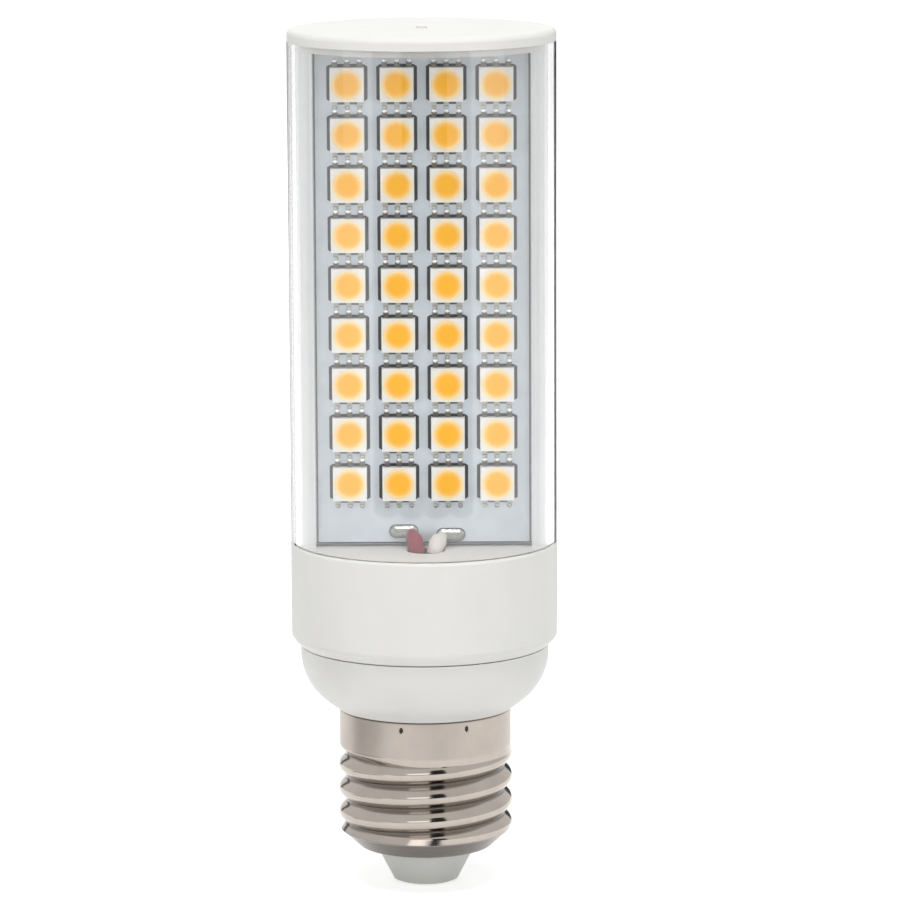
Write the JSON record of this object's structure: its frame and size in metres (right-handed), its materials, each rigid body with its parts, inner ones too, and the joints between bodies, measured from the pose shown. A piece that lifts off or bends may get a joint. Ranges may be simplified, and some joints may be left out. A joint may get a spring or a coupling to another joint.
{
  "type": "led tubular bulb",
  "caption": "Tubular LED lamp: screw base that swivels in a white collar, clear half-round cover over a board of LEDs, finned heat sink behind and a flat end cap.",
  "frame": {"origin": "underside of the centre contact, on the lamp's axis", "axes": "+Z along the lamp's axis from the screw base to the end cap, -Y the way the LEDs face"},
  "size_m": [0.04, 0.04, 0.1292],
  "materials": {
    "shell_nickel": "nickel plated, drawn",
    "contact_metal": "tinned",
    "insulator_plastic": "satin",
    "white_plastic": "satin moulded",
    "clear_plastic": "clear extruded",
    "heat_sink_aluminium": "extruded, natural",
    "board_coating": "satin coating",
    "led_housing": "moulded",
    "phosphor": "cast resin",
    "red_insulation": "soft sleeve",
    "white_insulation": "soft sleeve",
    "solder": "bright",
    "screw_steel": "zinc plated",
    "driver_laminate": "coated laminate",
    "resistor_body": "painted",
    "black_epoxy": "moulded",
    "capacitor_sleeve": "shrink sleeve",
    "ferrite": "sintered",
    "lead_insulation": "soft sleeve"
  },
  "bodies": {
    "base": {"centre_contact": "contact_metal", "base_insulator": "insulator_plastic", "screw_shell": "shell_nickel", "base_cup": "white_plastic", "driver_board": "driver_laminate", "fusible_resistor": "resistor_body", "bridge_rectifier": "black_epoxy", "input_capacitor": "capacitor_sleeve", "control_chip": "black_epoxy", "drum_inductor": "ferrite", "output_capacitor": "capacitor_sleeve", "live_wire": "lead_insulation", "neutral_wire": "lead_insulation"},
    "head": {"board_solder_joints": "solder", "clear_cover": "clear_plastic", "collar": "white_plastic", "collar_screws": "screw_steel", "end_cap": "white_plastic", "heat_sink": "heat_sink_aluminium", "led_board": "board_coating", "led_phosphors": "phosphor", "led_r1_c1": "led_housing", "led_r1_c2": "led_housing", "led_r1_c3": "led_housing", "led_r1_c4": "led_housing", "led_r2_c1": "led_housing", "led_r2_c2": "led_housing", "led_r2_c3": "led_housing", "led_r2_c4": "led_housing", "led_r3_c1": "led_housing", "led_r3_c2": "led_housing", "led_r3_c3": "led_housing", "led_r3_c4": "led_housing", "led_r4_c1": "led_housing", "led_r4_c2": "led_housing", "led_r4_c3": "led_housing", "led_r4_c4": "led_housing", "led_r5_c1": "led_housing", "led_r5_c2": "led_housing", "led_r5_c3": "led_housing", "led_r5_c4": "led_housing", "led_r6_c1": "led_housing", "led_r6_c2": "led_housing", "led_r6_c3": "led_housing", "led_r6_c4": "led_housing", "led_r7_c1": "led_housing", "led_r7_c2": "led_housing", "led_r7_c3": "led_housing", "led_r7_c4": "led_housing", "led_r8_c1": "led_housing", "led_r8_c2": "led_housing", "led_r8_c3": "led_housing", "led_r8_c4": "led_housing", "led_r9_c1": "led_housing", "led_r9_c2": "led_housing", "led_r9_c3": "led_housing", "led_r9_c4": "led_housing", "red_wire": "red_insulation", "white_wire": "white_insulation"}
  },
  "joints": [
    {"name": "head_swivel", "type": "hinge", "parent": "base", "child": "head", "pos_m": [0, 0, 0], "axis": [0, 0, 1], "range_deg": [-165, 165]}
  ]
}
